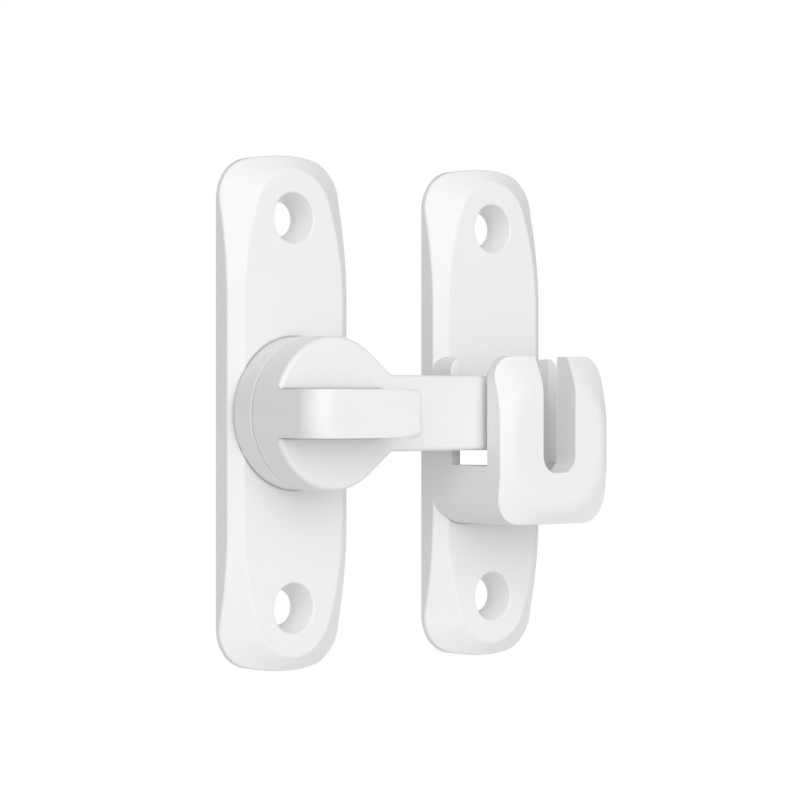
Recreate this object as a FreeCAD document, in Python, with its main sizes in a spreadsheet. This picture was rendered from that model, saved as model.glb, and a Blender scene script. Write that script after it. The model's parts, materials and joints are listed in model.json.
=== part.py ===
import FreeCAD, Part
import math
import os

import Sketcher
from FreeCAD import Placement, Rotation, Vector

# Flip-over door latch, die-cast and painted: a latch plate that carries a turning arm with a
# thumb rib, and a strike plate whose catch takes the arm's hooked end.
#
# Frame, in millimetres: the origin is on the arm's pivot axis, in the plane that both plates are
# screwed to. +X points from the latch plate to the strike plate and +Z is up. The viewer stands
# on the -Y side, so a depth, counted from the wall towards the viewer, is a negative Y.

SIZES = [
    # The two plates, which have one outline
    ("plate_length", 79.3, "height of a plate; its ends are arcs about its own middle"),
    ("plate_width", 24.0, "width of a plate"),
    ("plate_thickness", 4.2, "from the wall to the raised flat"),
    ("plate_side_height", 2.75, "upright side below the bevel, at mid height"),
    ("plate_corner_radius", 6.5, "rounding of a plate's corners"),
    ("bevel_width", 2.15, "run of the bevel between side and flat, at mid height"),
    ("flat_rim_radius", 7.5, "radius of the flat's ends, about the screw holes"),
    ("flat_straight", 17.0, "half length of the straight middle of the flat's sides"),
    ("flat_edge_radius", 1.6, "softness of the crease between flat and bevel"),
    ("plate_spacing", 42.35, "from the pivot axis to the strike plate's middle"),
    # Screw holes
    ("screw_inset", 9.65, "from a plate's end to the screw hole there"),
    ("screw_hole", 5.5, "diameter of the plain part of a screw hole"),
    ("screw_sink", 8.0, "diameter of a screw hole at the flat"),
    ("screw_land", 1.5, "length of the plain part, at the wall"),
    # Boss, pivot and its hardware
    ("boss_rise", 3.85, "boss height above the flat"),
    ("recess_diameter", 16.0, "pocket for the pivot hardware in the plate's back"),
    ("recess_depth", 5.0, "depth of that pocket, from the wall"),
    ("bush_wall", 1.45, "wall of the bush's sleeve"),
    ("flange_inset", 0.5, "thrust flange inside the rims of boss and knob"),
    ("bush_flange", 0.3, "thickness of the thrust flange"),
    ("bush_end_gap", 0.1, "bush sleeve short of the pocket's floor"),
    ("spigot_diameter", 9.0, "shaft on the back of the knob"),
    ("running_clearance", 0.05, "radial clearance of shaft in bush, screw and key in their holes"),
    ("fit_clearance", 0.02, "clearance of the bush in its bore, and of stacked faces"),
    ("wave_height", 0.9, "space that the wave washer is held in"),
    ("wave_thickness", 0.4, "sheet thickness of the wave washer"),
    ("wave_count", 3.0, "waves round the washer"),
    ("wave_bore_play", 0.3, "radial play of the wave washer round the spigot"),
    ("washer_play", 0.8, "radial play of both washers in the pocket"),
    ("retainer_thickness", 1.0, "thickness of the retaining washer"),
    ("key_diameter", 7.6, "round of the two-flat key on the spigot's end"),
    ("key_flats", 6.0, "width of the key across its flats"),
    ("key_height", 0.8, "height of the key"),
    ("screw_diameter", 4.0, "thread of the pivot screw"),
    ("screw_length", 8.0, "pivot screw below its head"),
    ("screw_head", 8.0, "diameter of the pivot screw's head"),
    ("screw_head_height", 2.0, "height of that head"),
    ("screw_head_radius", 0.9, "rounding of that head"),
    ("driver_width", 4.4, "length of the cross recess"),
    ("driver_slot", 0.9, "width of one slot of the cross recess"),
    ("driver_depth", 1.2, "depth of the cross recess"),
    ("thread_run_out", 0.9, "tapped hole beyond the screw's end"),
    # Knob, bar, rib and hook, all one casting
    ("knob_diameter", 23.5, "round part of the knob, and the fixed boss behind it"),
    ("knob_thickness", 5.7, "thickness of knob and bar"),
    ("front_edge_radius", 1.3, "rounding of the knob's and the bar's front edge"),
    ("neck_radius", 1.2, "rounding in the neck"),
    ("bar_height", 11.8, "height of the bar"),
    ("bar_back_radius", 0.8, "rounding of the bar's back edges"),
    ("rib_width", 7.35, "height of the thumb rib across the knob"),
    ("rib_rise", 8.9, "rib above the knob's face"),
    ("rib_reach", 10.0, "from the pivot axis to the rib's end over the bar"),
    ("rib_swell_radius", 3.9, "large rounding where the rib rises from the knob's rim"),
    ("rib_end_radius", 1.5, "rounding of the rib's other end"),
    ("rib_edge_radius", 0.6, "softness of the rib's long edges"),
    ("hook_thickness", 4.4, "hook at the bar's end, along the bar"),
    ("hook_clearance", 0.5, "hook to the latch plate's flat when the arm is turned over"),
    ("swing_clearance", 0.4, "hook to the side wall's top corner as the arm swings"),
    # Catch on the strike plate
    ("side_wall", 2.05, "thickness of the catch's two side walls"),
    ("front_wall", 4.3, "thickness of the catch's front wall"),
    ("slot_play", 1.25, "bar to slot, on each side of the bar's thickness"),
    ("bar_drop", 2.4, "gap under the bar to the slot's floor"),
    ("side_top", 8.8, "top of the side walls above the pivot's level"),
    ("side_top_radius", 2.0, "rounding of the side walls' outer top corners"),
    ("catch_top", 9.0, "top of the front wall above the pivot's level"),
    ("catch_top_radius", 3.8, "rounding of the front wall's top corners"),
    ("catch_bottom", 17.8, "bottom of the catch below the pivot's level"),
    ("catch_bottom_radius", 4.7, "rounding of the catch's bottom corners"),
    ("cavity_floor", 11.0, "floor of the catch's inside below the pivot's level"),
    ("window_top", 5.8, "top of the window through the strike plate"),
    ("front_slot_width", 7.2, "width of the slot in the front wall"),
    ("front_slot_floor", 9.6, "floor of the front slot below the pivot's level"),
    ("front_slot_radius", 2.8, "rounding of that floor's corners"),
    ("face_inset", 1.8, "run of the front wall's bevel at its sides"),
    ("face_top_inset", 4.7, "run of that bevel at the top"),
    ("face_bottom_inset", 2.7, "run of that bevel at the bottom"),
    ("face_top_radius", 7.0, "rounding of the front flat's top corners"),
    ("face_sole", 1.6, "straight part of the front flat's lower edge"),
    ("face_bevel_depth", 1.3, "fall of the front bevel at the catch's sides"),
    ("face_slope_radius", 9.0, "top corners of the outline that the front bevel runs out to"),
]

# A sketch in a plane that faces the viewer: its x is +X, its y is +Z and its normal is -Y
FACING = Rotation(Vector(1, 0, 0), 90)
FULL_TURN = 2 * math.pi
# Two places closer than this, in millimetres, count as one
TOUCH = 1e-4
# Points that a wave of the spring washer is drawn through
POINTS_PER_WAVE = 12

doc = FreeCAD.newDocument("door_latch")
sheet = doc.addObject("Spreadsheet::Sheet", "sizes")
for row, (alias, number, meaning) in enumerate(SIZES, 1):
    sheet.set(f"A{row}", alias)
    sheet.set(f"B{row}", str(number))
    sheet.set(f"C{row}", meaning)
    sheet.setAlias(f"B{row}", alias)
doc.recompute()

# Depths from the wall and places that several pieces share, as formulas on the sheet's sizes
PLATE_HALF = "(sizes.plate_width / 2)"
FLAT_HALF = f"({PLATE_HALF} - sizes.bevel_width)"
SCREW_PLACE = "(sizes.plate_length / 2 - sizes.screw_inset)"
BUSH_BORE = "(sizes.spigot_diameter + 2 * sizes.running_clearance)"
BUSH_OUTSIDE = f"({BUSH_BORE} + 2 * sizes.bush_wall)"
WASHER_OUTSIDE = "(sizes.recess_diameter - 2 * sizes.washer_play)"
BOSS_FRONT = "(sizes.plate_thickness + sizes.boss_rise)"
KNOB_BACK = f"({BOSS_FRONT} + sizes.bush_flange + sizes.fit_clearance)"
KNOB_FRONT = f"({KNOB_BACK} + sizes.knob_thickness)"
SPIGOT_END = "(sizes.recess_depth - sizes.wave_height)"
RETAINER_BACK = f"({SPIGOT_END} - sizes.retainer_thickness)"
HOOK_BACK = "(sizes.plate_thickness + sizes.hook_clearance)"
CAVITY_HALF = f"({PLATE_HALF} - sizes.side_wall)"
WALL_INSIDE = f"(sizes.plate_spacing - {CAVITY_HALF})"
HOOK_INSIDE = f"(sqrt({WALL_INSIDE} ^ 2 + sizes.side_top ^ 2) + sizes.swing_clearance)"
ARM_END = f"({HOOK_INSIDE} + sizes.hook_thickness)"
POST_FRONT = f"({KNOB_BACK} - sizes.slot_play)"
WALL_BACK = f"({KNOB_FRONT} + sizes.slot_play)"
CATCH_FRONT = f"({WALL_BACK} + sizes.front_wall)"
SLOT_FLOOR = "(sizes.bar_height / 2 + sizes.bar_drop)"
FRONT_SLOT_HALF = "(sizes.front_slot_width / 2)"


def value(formula):
    """The number that a formula on the sheet's sizes gives."""
    return float(sheet.evalExpression(formula))


def arc(x, y, radius, start, end):
    """A counter-clockwise arc, with its angles in radians."""
    circle = Part.Circle(Vector(x, y, 0), Vector(0, 0, 1), radius)
    return Part.ArcOfCircle(circle, start, end)


def line(start, end):
    return Part.LineSegment(Vector(*start, 0), Vector(*end, 0))


# Sketches: in a constraint, point 1 of an edge is its start, 2 its end and 3 its centre;
# edge -1 is the horizontal axis, whose point 1 is the origin, and edge -2 the upright axis.

def facing_sketch(name, depth):
    """An empty sketch that stands by itself, at a depth from the wall."""
    sketch = doc.addObject("Sketcher::SketchObject", name)
    sketch.Placement = Placement(Vector(0, -value(depth), 0), FACING)
    sketch.setExpression("Placement.Base.y", f"-{depth}")
    return sketch


def body_sketch(body, name, depth):
    """An empty sketch on the body's own XZ plane, moved out to a depth from the wall."""
    sketch = body.newObject("Sketcher::SketchObject", name)
    plane = [item for item in body.Origin.OriginFeatures if item.Role == "XZ_Plane"][0]
    sketch.AttachmentSupport = [(plane, "")]
    sketch.MapMode = "FlatFace"
    sketch.setExpression("AttachmentOffset.Base.z", depth)
    return sketch


def dimension(sketch, name, kind, where, formula):
    """One driving dimension, bound to a formula on the sheet's sizes."""
    index = sketch.addConstraint(Sketcher.Constraint(kind, *where, value(formula)))
    sketch.renameConstraint(index, name)
    sketch.setExpression(f"Constraints.{name}", formula)


def relate(sketch, kind, *where):
    sketch.addConstraint(Sketcher.Constraint(kind, *where))


def finish_sketch(sketch):
    """Solves a sketch and refuses one that is not fully held."""
    if sketch.solve() != 0:
        raise RuntimeError(f"{sketch.Name} has no solution")
    return sketch


def circle_sketch(sketch, diameter):
    """One circle about the pivot axis."""
    sketch.addGeometry(Part.Circle(Vector(0, 0, 0), Vector(0, 0, 1), value(diameter) / 2), False)
    relate(sketch, "Coincident", 0, 3, -1, 1)
    dimension(sketch, "diameter", "Diameter", (0,), diameter)
    return finish_sketch(sketch)


def add_hole_circle(sketch, diameter):
    """A second circle in a sketch, which makes its face a ring."""
    hole = sketch.addGeometry(Part.Circle(Vector(0, 0, 0), Vector(0, 0, 1), value(diameter) / 2), False)
    relate(sketch, "Coincident", hole, 3, -1, 1)
    dimension(sketch, "hole", "Diameter", (hole,), diameter)
    return finish_sketch(sketch)


def plate_outline(name, depth, spread):
    """A plate's outline, or the same outline spread outwards by some formula."""
    sketch = facing_sketch(name, depth)
    half = f"({PLATE_HALF} + {spread})"
    end = f"(sizes.plate_length / 2 + {spread})"
    corner = f"(sizes.plate_corner_radius + {spread})"
    w, r, big, s = value(half), value(corner), value(end), value("sizes.flat_straight")
    x = w - r
    y = math.sqrt((big - r) ** 2 - x ** 2)
    turn = math.atan2(y, x)
    edges = [line((w, -s), (w, s)), line((w, s), (w, y)), arc(x, y, r, 0, turn),
             arc(0, 0, big, turn, math.pi - turn), arc(-x, y, r, math.pi - turn, math.pi),
             line((-w, y), (-w, s)), line((-w, s), (-w, -s)), line((-w, -s), (-w, -y)),
             arc(-x, -y, r, math.pi, math.pi + turn), arc(0, 0, big, math.pi + turn, FULL_TURN - turn),
             arc(x, -y, r, FULL_TURN - turn, FULL_TURN), line((w, -y), (w, -s))]
    sides = (0, 1, 5, 6, 7, 11)
    for edge in edges:
        sketch.addGeometry(edge, False)
    for index in range(len(edges)):
        following = (index + 1) % len(edges)
        both_straight = index in sides and following in sides
        relate(sketch, "Coincident" if both_straight else "Tangent", index, 2, following, 1)
    for side in sides:
        relate(sketch, "Vertical", side)
    for cap in (3, 9):
        relate(sketch, "Coincident", cap, 3, -1, 1)
    relate(sketch, "Equal", 3, 9)
    for corner_arc in (4, 8, 10):
        relate(sketch, "Equal", 2, corner_arc)
    dimension(sketch, "end_radius", "Radius", (3,), end)
    dimension(sketch, "corner_radius", "Radius", (2,), corner)
    dimension(sketch, "right_side", "DistanceX", (-1, 1, 0, 1), half)
    dimension(sketch, "left_side", "DistanceX", (6, 1, -1, 1), half)
    straight_middle(sketch)
    return finish_sketch(sketch)


def straight_middle(sketch):
    """Sets where the upright middle lines 0 and 6 of a plate or its flat end."""
    dimension(sketch, "right_low", "DistanceY", (0, 1, -1, 1), "sizes.flat_straight")
    dimension(sketch, "right_high", "DistanceY", (-1, 1, 0, 2), "sizes.flat_straight")
    dimension(sketch, "left_high", "DistanceY", (-1, 1, 6, 1), "sizes.flat_straight")
    dimension(sketch, "left_low", "DistanceY", (6, 2, -1, 1), "sizes.flat_straight")


def flat_outline(name, depth):
    """The raised flat of a plate: straight sides that long arcs lead to ends about the screw holes."""
    sketch = facing_sketch(name, depth)
    rim = "sizes.flat_rim_radius"
    rise = f"({SCREW_PLACE} - sizes.flat_straight)"
    side = f"(({FLAT_HALF} - {rim}) / 2 + {rise} ^ 2 / (2 * ({FLAT_HALF} - {rim})) + {rim})"
    split = f"({rim} / 2)"
    w, h, r, big, s = value(FLAT_HALF), value(SCREW_PLACE), value(rim), value(side), value(split)
    m = value("sizes.flat_straight")
    turn = math.atan2(h - m, big - w)
    cut = math.acos(s / r)
    edges = [line((w, -m), (w, m)), arc(w - big, m, big, 0, turn), arc(0, h, r, turn, cut),
             arc(0, h, r, cut, math.pi - cut), arc(0, h, r, math.pi - cut, math.pi - turn),
             arc(big - w, m, big, math.pi - turn, math.pi), line((-w, m), (-w, -m)),
             arc(big - w, -m, big, math.pi, math.pi + turn), arc(0, -h, r, math.pi + turn, math.pi + cut),
             arc(0, -h, r, math.pi + cut, FULL_TURN - cut), arc(0, -h, r, FULL_TURN - cut, FULL_TURN - turn),
             arc(w - big, -m, big, FULL_TURN - turn, FULL_TURN)]
    for edge in edges:
        sketch.addGeometry(edge, False)
    for first, second in ((0, 1), (1, 2), (4, 5), (5, 6), (6, 7), (7, 8), (10, 11), (11, 0)):
        relate(sketch, "Tangent", first, 2, second, 1)
    for first, second in ((2, 3), (3, 4), (8, 9), (9, 10)):
        relate(sketch, "Coincident", first, 2, second, 1)
        relate(sketch, "Coincident", first, 3, second, 3)
    for end_arc in (2, 8):
        relate(sketch, "PointOnObject", end_arc, 3, -2)
    relate(sketch, "Equal", 2, 8)
    relate(sketch, "Equal", 1, 5)
    for middle in (0, 6):
        relate(sketch, "Vertical", middle)
    dimension(sketch, "upper_hole", "DistanceY", (-1, 1, 2, 3), SCREW_PLACE)
    dimension(sketch, "lower_hole", "DistanceY", (8, 3, -1, 1), SCREW_PLACE)
    dimension(sketch, "rim_radius", "Radius", (2,), rim)
    dimension(sketch, "side_radius", "Radius", (1,), side)
    dimension(sketch, "upper_right", "DistanceX", (-1, 1, 3, 1), split)
    dimension(sketch, "upper_left", "DistanceX", (3, 2, -1, 1), split)
    dimension(sketch, "lower_left", "DistanceX", (9, 1, -1, 1), split)
    dimension(sketch, "lower_right", "DistanceX", (-1, 1, 9, 2), split)
    straight_middle(sketch)
    return finish_sketch(sketch)


def block_outline(name, depth, half, top, bottom, top_radius, bottom_radius):
    """A rectangle, symmetric left and right, with its own roundings at the top and the bottom."""
    sketch = facing_sketch(name, depth)
    w, up, down = value(half), value(top), value(bottom)
    a, b = value(top_radius), value(bottom_radius)
    quarter = math.pi / 2
    edges = [line((w, b - down), (w, up - a)), arc(w - a, up - a, a, 0, quarter),
             line((w - a, up), (a - w, up)), arc(a - w, up - a, a, quarter, math.pi),
             line((-w, up - a), (-w, b - down)), arc(b - w, b - down, b, math.pi, 3 * quarter),
             line((b - w, -down), (w - b, -down)), arc(w - b, b - down, b, 3 * quarter, FULL_TURN)]
    for edge in edges:
        sketch.addGeometry(edge, False)
    for index in range(len(edges)):
        relate(sketch, "Tangent", index, 2, (index + 1) % len(edges), 1)
    for side in (0, 4):
        relate(sketch, "Vertical", side)
    for level in (2, 6):
        relate(sketch, "Horizontal", level)
    relate(sketch, "Equal", 1, 3)
    relate(sketch, "Equal", 5, 7)
    dimension(sketch, "top_radius", "Radius", (1,), top_radius)
    dimension(sketch, "bottom_radius", "Radius", (5,), bottom_radius)
    dimension(sketch, "right_side", "DistanceX", (-1, 1, 0, 1), half)
    dimension(sketch, "left_side", "DistanceX", (4, 1, -1, 1), half)
    dimension(sketch, "top_level", "DistanceY", (-1, 1, 2, 1), top)
    dimension(sketch, "bottom_level", "DistanceY", (6, 1, -1, 1), bottom)
    return finish_sketch(sketch)


def rectangle(sketch, left, right, half):
    """A plain rectangle that is symmetric above and below the X axis."""
    x0, x1, y = value(left), value(right), value(half)
    corners = [(x0, -y), (x1, -y), (x1, y), (x0, y)]
    for index, corner in enumerate(corners):
        sketch.addGeometry(line(corner, corners[(index + 1) % 4]), False)
    for index in range(4):
        relate(sketch, "Coincident", index, 2, (index + 1) % 4, 1)
    for level in (0, 2):
        relate(sketch, "Horizontal", level)
    for side in (1, 3):
        relate(sketch, "Vertical", side)
    dimension(sketch, "left_end", "DistanceX", (-1, 1, 0, 1), left)
    dimension(sketch, "right_end", "DistanceX", (-1, 1, 0, 2), right)
    dimension(sketch, "lower_half", "DistanceY", (0, 1, -1, 1), half)
    dimension(sketch, "upper_half", "DistanceY", (-1, 1, 2, 1), half)
    return finish_sketch(sketch)


# Solids of the plates, made as primitives and booleans

def extrude(name, sketch, length):
    """A prism from a sketch towards the viewer."""
    prism = doc.addObject("Part::Extrusion", name)
    prism.Base = sketch
    prism.DirMode = "Normal"
    prism.Solid = True
    prism.setExpression("LengthFwd", length)
    return prism


def ruled_loft(name, lower, upper):
    """The solid of straight rulings between two outlines of eight edges each."""
    loft = doc.addObject("Part::Loft", name)
    loft.Sections = [lower, upper]
    loft.Solid = True
    loft.Ruled = True
    return loft


def combine(kind, name, shapes):
    """A union (MultiFuse) or an intersection (MultiCommon) of several objects."""
    result = doc.addObject(f"Part::{kind}", name)
    result.Shapes = shapes
    result.Refine = True
    return result


def cut(name, base, tools):
    """A base with one or more tools taken away."""
    result = doc.addObject("Part::Cut", name)
    result.Base = base
    result.Tool = tools[0] if len(tools) == 1 else combine("MultiFuse", f"{name}_tools", tools)
    result.Refine = True
    return result


def upright_cylinder(name, diameter, back, length, height="0"):
    """A cylinder square to the wall, from a depth towards the viewer."""
    shape = doc.addObject("Part::Cylinder", name)
    shape.Placement = Placement(Vector(0, 0, 0), FACING)
    shape.setExpression("Radius", f"{diameter} / 2")
    shape.setExpression("Height", length)
    shape.setExpression("Placement.Base.y", f"-{back}")
    shape.setExpression("Placement.Base.z", height)
    return shape


def box(name, left, right, back, front, low, high):
    """A box between two places along X, two depths and two heights."""
    shape = doc.addObject("Part::Box", name)
    shape.setExpression("Length", f"{right} - {left}")
    shape.setExpression("Width", f"{front} - {back}")
    shape.setExpression("Height", f"{high} - {low}")
    shape.setExpression("Placement.Base.x", left)
    shape.setExpression("Placement.Base.y", f"-{front}")
    shape.setExpression("Placement.Base.z", low)
    return shape


def soften(name, base, test, radius):
    """Rounds the edges that pass a test."""
    doc.recompute()
    size = value(radius)
    picked = [(index, size, size) for index, edge in enumerate(base.Shape.Edges, 1) if test(edge)]
    if not picked:
        raise RuntimeError(f"{name} rounds no edge")
    fillet = doc.addObject("Part::Fillet", name)
    fillet.Base = base
    fillet.Edges = picked
    return fillet


def at_depth(edge, depth):
    """True for an edge that lies flat at a depth from the wall."""
    bounds = edge.BoundBox
    return abs(bounds.YMin + depth) < TOUCH and abs(bounds.YMax + depth) < TOUCH


def bevelled_plate(prefix):
    """The slab that both plates start from: upright sides, a ruled bevel and a raised flat."""
    foot = "(sizes.plate_side_height / 2)"
    spread = f"({foot} * sizes.bevel_width / (sizes.plate_thickness - sizes.plate_side_height))"
    outline = plate_outline(f"{prefix}_outline", "0", "0")
    slab = extrude(f"{prefix}_slab", outline, "sizes.plate_thickness")
    base = extrude(f"{prefix}_bevel_base", plate_outline(f"{prefix}_bevel_sole", "0", spread), foot)
    slope = ruled_loft(f"{prefix}_bevel", plate_outline(f"{prefix}_bevel_foot", foot, spread),
                       flat_outline(f"{prefix}_flat", "sizes.plate_thickness"))
    form = combine("MultiFuse", f"{prefix}_bevel_form", [base, slope])
    plate = combine("MultiCommon", f"{prefix}_blank", [slab, form])
    flat = value("sizes.plate_thickness")
    return soften(f"{prefix}_soft", plate, lambda edge: at_depth(edge, flat), "sizes.flat_edge_radius")


def screw_hole(prefix, height):
    """A plain hole at the wall that widens to the flat, at one height."""
    plain = upright_cylinder(f"{prefix}_plain", "sizes.screw_hole", "0", "sizes.screw_land", height)
    sink = doc.addObject("Part::Cone", f"{prefix}_sink")
    sink.Placement = Placement(Vector(0, 0, 0), FACING)
    sink.setExpression("Radius1", "sizes.screw_hole / 2")
    sink.setExpression("Radius2", "sizes.screw_sink / 2")
    sink.setExpression("Height", "sizes.plate_thickness - sizes.screw_land")
    sink.setExpression("Placement.Base.y", "-sizes.screw_land")
    sink.setExpression("Placement.Base.z", height)
    return [plain, sink]


def screw_holes(prefix):
    return screw_hole(f"{prefix}_upper", SCREW_PLACE) + screw_hole(f"{prefix}_lower", f"-{SCREW_PLACE}")


def make_latch_plate():
    """Plate with the boss, its bush bore and the pocket for the pivot hardware in the back."""
    boss = upright_cylinder("boss", "sizes.knob_diameter", "sizes.plate_thickness", "sizes.boss_rise")
    joined = combine("MultiFuse", "latch_casting", [bevelled_plate("latch"), boss])
    bore = upright_cylinder("bush_bore", BUSH_OUTSIDE, "0", BOSS_FRONT)
    recess = upright_cylinder("hardware_recess", "sizes.recess_diameter", "0", "sizes.recess_depth")
    return cut("latch_plate", joined, screw_holes("latch") + [bore, recess])


def make_strike_plate():
    """Plate and catch in one casting: two slotted side walls, a cavity and a slotted front wall."""
    walls = extrude("catch_walls", block_outline("wall_outline", "0", PLATE_HALF, "sizes.side_top",
                                                 "sizes.catch_bottom", "sizes.side_top_radius",
                                                 "sizes.catch_bottom_radius"), WALL_BACK)
    front = extrude("catch_front", block_outline("front_outline", WALL_BACK, PLATE_HALF, "sizes.catch_top",
                                                 "sizes.catch_bottom", "sizes.catch_top_radius",
                                                 "sizes.catch_bottom_radius"), "sizes.front_wall")
    # The bevel runs on past the catch's sides, to an outline twice as far out and twice as deep
    foot = f"({CATCH_FRONT} - 2 * sizes.face_bevel_depth)"
    around = [f"({size} + sizes.face_inset)" for size in (PLATE_HALF, "sizes.catch_top", "sizes.catch_bottom",
                                                          "sizes.face_slope_radius", "sizes.catch_bottom_radius")]
    base = extrude("face_bevel_base", block_outline("face_bevel_sole", "0", *around), foot)
    face_half = f"({PLATE_HALF} - sizes.face_inset)"
    face = block_outline("face_flat", CATCH_FRONT, face_half, "(sizes.catch_top - sizes.face_top_inset)",
                         "(sizes.catch_bottom - sizes.face_bottom_inset)", "sizes.face_top_radius",
                         f"({face_half} - sizes.face_sole / 2)")
    slope = ruled_loft("face_bevel", block_outline("face_bevel_foot", foot, *around), face)
    block = combine("MultiCommon", "catch_block", [combine("MultiFuse", "catch_sides", [walls, front]),
                                                   combine("MultiFuse", "face_bevel_form", [base, slope])])
    above = "(2 * sizes.catch_top)"
    inside = box("cavity", f"-{CAVITY_HALF}", CAVITY_HALF, "sizes.plate_thickness", WALL_BACK,
                 "-sizes.cavity_floor", above)
    window = box("window", f"-{CAVITY_HALF}", CAVITY_HALF, "0", "sizes.plate_thickness",
                 "-sizes.cavity_floor", "sizes.window_top")
    side_slots = box("side_slots", f"-{PLATE_HALF}", PLATE_HALF, POST_FRONT, WALL_BACK, f"-{SLOT_FLOOR}", above)
    front_slot = extrude("front_slot", block_outline("front_slot_outline", WALL_BACK, FRONT_SLOT_HALF, above,
                                                     "sizes.front_slot_floor", "sizes.front_slot_radius",
                                                     "sizes.front_slot_radius"), "sizes.front_wall")
    casting = combine("MultiFuse", "strike_casting", [bevelled_plate("strike"), block])
    return cut("strike_plate", casting, screw_holes("strike") + [inside, window, side_slots, front_slot])


# Solids of the turning pieces and of the pivot hardware, made as bodies

def new_body(name):
    return doc.addObject("PartDesign::Body", name)


def pad(body, name, sketch, length):
    """Adds a sketch's face, thickened towards the viewer, to a body."""
    feature = body.newObject("PartDesign::Pad", name)
    feature.Profile = sketch
    feature.setExpression("Length", length)
    return feature


def pocket(body, name, sketch, length):
    """Takes a sketch's face, cut towards the viewer, out of a body."""
    doc.recompute()
    before = body.Shape.Volume
    feature = body.newObject("PartDesign::Pocket", name)
    feature.Profile = sketch
    feature.Reversed = True
    feature.setExpression("Length", length)
    doc.recompute()
    if body.Shape.Volume > before - TOUCH:
        raise RuntimeError(f"{name} cuts nothing")
    return feature


def round_edges(body, name, test, radius):
    """Rounds the edges of a body that pass a test."""
    doc.recompute()
    base = body.Tip
    names = [f"Edge{index}" for index, edge in enumerate(base.Shape.Edges, 1) if test(edge)]
    if not names:
        raise RuntimeError(f"{name} rounds no edge")
    feature = body.newObject("PartDesign::Fillet", name)
    feature.Base = (base, names)
    feature.setExpression("Radius", radius)
    return feature


def middle_of(edge):
    return edge.valueAt((edge.FirstParameter + edge.LastParameter) / 2)


def runs_along_y(edge):
    bounds = edge.BoundBox
    return bounds.XLength < TOUCH and bounds.ZLength < TOUCH


def arm_outline(sketch):
    """The round knob, its two flanks and the bar, as seen from the front."""
    radius, half, end = value("sizes.knob_diameter / 2"), value("sizes.bar_height / 2"), value(ARM_END)
    # The flanks touch the knob's round and meet the bar level with the knob's rim
    turn = 2 * math.atan2(half, radius)
    touch = (radius * math.cos(turn), radius * math.sin(turn))
    edges = [arc(0, 0, radius, turn, FULL_TURN - turn), line((touch[0], -touch[1]), (radius, -half)),
             line((radius, -half), (end, -half)), line((end, -half), (end, half)),
             line((end, half), (radius, half)), line((radius, half), touch)]
    for edge in edges:
        sketch.addGeometry(edge, False)
    relate(sketch, "Coincident", 0, 3, -1, 1)
    relate(sketch, "Tangent", 0, 2, 1, 1)
    relate(sketch, "Tangent", 5, 2, 0, 1)
    for index in (1, 2, 3, 4):
        relate(sketch, "Coincident", index, 2, index + 1, 1)
    for level in (2, 4):
        relate(sketch, "Horizontal", level)
    relate(sketch, "Vertical", 3)
    dimension(sketch, "knob_radius", "Radius", (0,), "sizes.knob_diameter / 2")
    dimension(sketch, "lower_neck", "DistanceX", (-1, 1, 2, 1), "sizes.knob_diameter / 2")
    dimension(sketch, "upper_neck", "DistanceX", (-1, 1, 4, 2), "sizes.knob_diameter / 2")
    dimension(sketch, "arm_end", "DistanceX", (-1, 1, 3, 1), ARM_END)
    dimension(sketch, "lower_edge", "DistanceY", (2, 1, -1, 1), "sizes.bar_height / 2")
    dimension(sketch, "upper_edge", "DistanceY", (-1, 1, 4, 2), "sizes.bar_height / 2")
    return finish_sketch(sketch)


def rib_outline(sketch):
    """The thumb rib from the front: its left end is the knob's own rim."""
    radius, half, end = value("sizes.knob_diameter / 2"), value("sizes.rib_width / 2"), value("sizes.rib_reach")
    turn = math.asin(half / radius)
    start = -radius * math.cos(turn)
    edges = [arc(0, 0, radius, math.pi - turn, math.pi + turn), line((start, -half), (end, -half)),
             line((end, -half), (end, half)), line((end, half), (start, half))]
    for edge in edges:
        sketch.addGeometry(edge, False)
    relate(sketch, "Coincident", 0, 3, -1, 1)
    for index in range(4):
        relate(sketch, "Coincident", index, 2, (index + 1) % 4, 1)
    for level in (1, 3):
        relate(sketch, "Horizontal", level)
    relate(sketch, "Vertical", 2)
    dimension(sketch, "knob_radius", "Radius", (0,), "sizes.knob_diameter / 2")
    dimension(sketch, "rib_end", "DistanceX", (-1, 1, 1, 2), "sizes.rib_reach")
    dimension(sketch, "lower_half", "DistanceY", (1, 1, -1, 1), "sizes.rib_width / 2")
    dimension(sketch, "upper_half", "DistanceY", (-1, 1, 3, 1), "sizes.rib_width / 2")
    return finish_sketch(sketch)


def two_flats(sketch, extra):
    """A circle with two flats, for the key and, with some clearance, for the hole that takes it."""
    radius = f"(sizes.key_diameter / 2 + {extra})"
    half = f"(sizes.key_flats / 2 + {extra})"
    r, w = value(radius), value(half)
    h = math.sqrt(r * r - w * w)
    turn = math.atan2(h, w)
    first = len(sketch.Geometry)
    edges = [line((w, -h), (w, h)), arc(0, 0, r, turn, math.pi - turn),
             line((-w, h), (-w, -h)), arc(0, 0, r, math.pi + turn, FULL_TURN - turn)]
    for edge in edges:
        sketch.addGeometry(edge, False)
    for index in range(4):
        relate(sketch, "Coincident", first + index, 2, first + (index + 1) % 4, 1)
    for side in (first, first + 2):
        relate(sketch, "Vertical", side)
    for cap in (first + 1, first + 3):
        relate(sketch, "Coincident", cap, 3, -1, 1)
    dimension(sketch, "key_radius", "Radius", (first + 1,), radius)
    dimension(sketch, "right_flat", "DistanceX", (-1, 1, first, 1), half)
    dimension(sketch, "left_flat", "DistanceX", (first + 2, 1, -1, 1), half)
    return finish_sketch(sketch)


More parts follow.
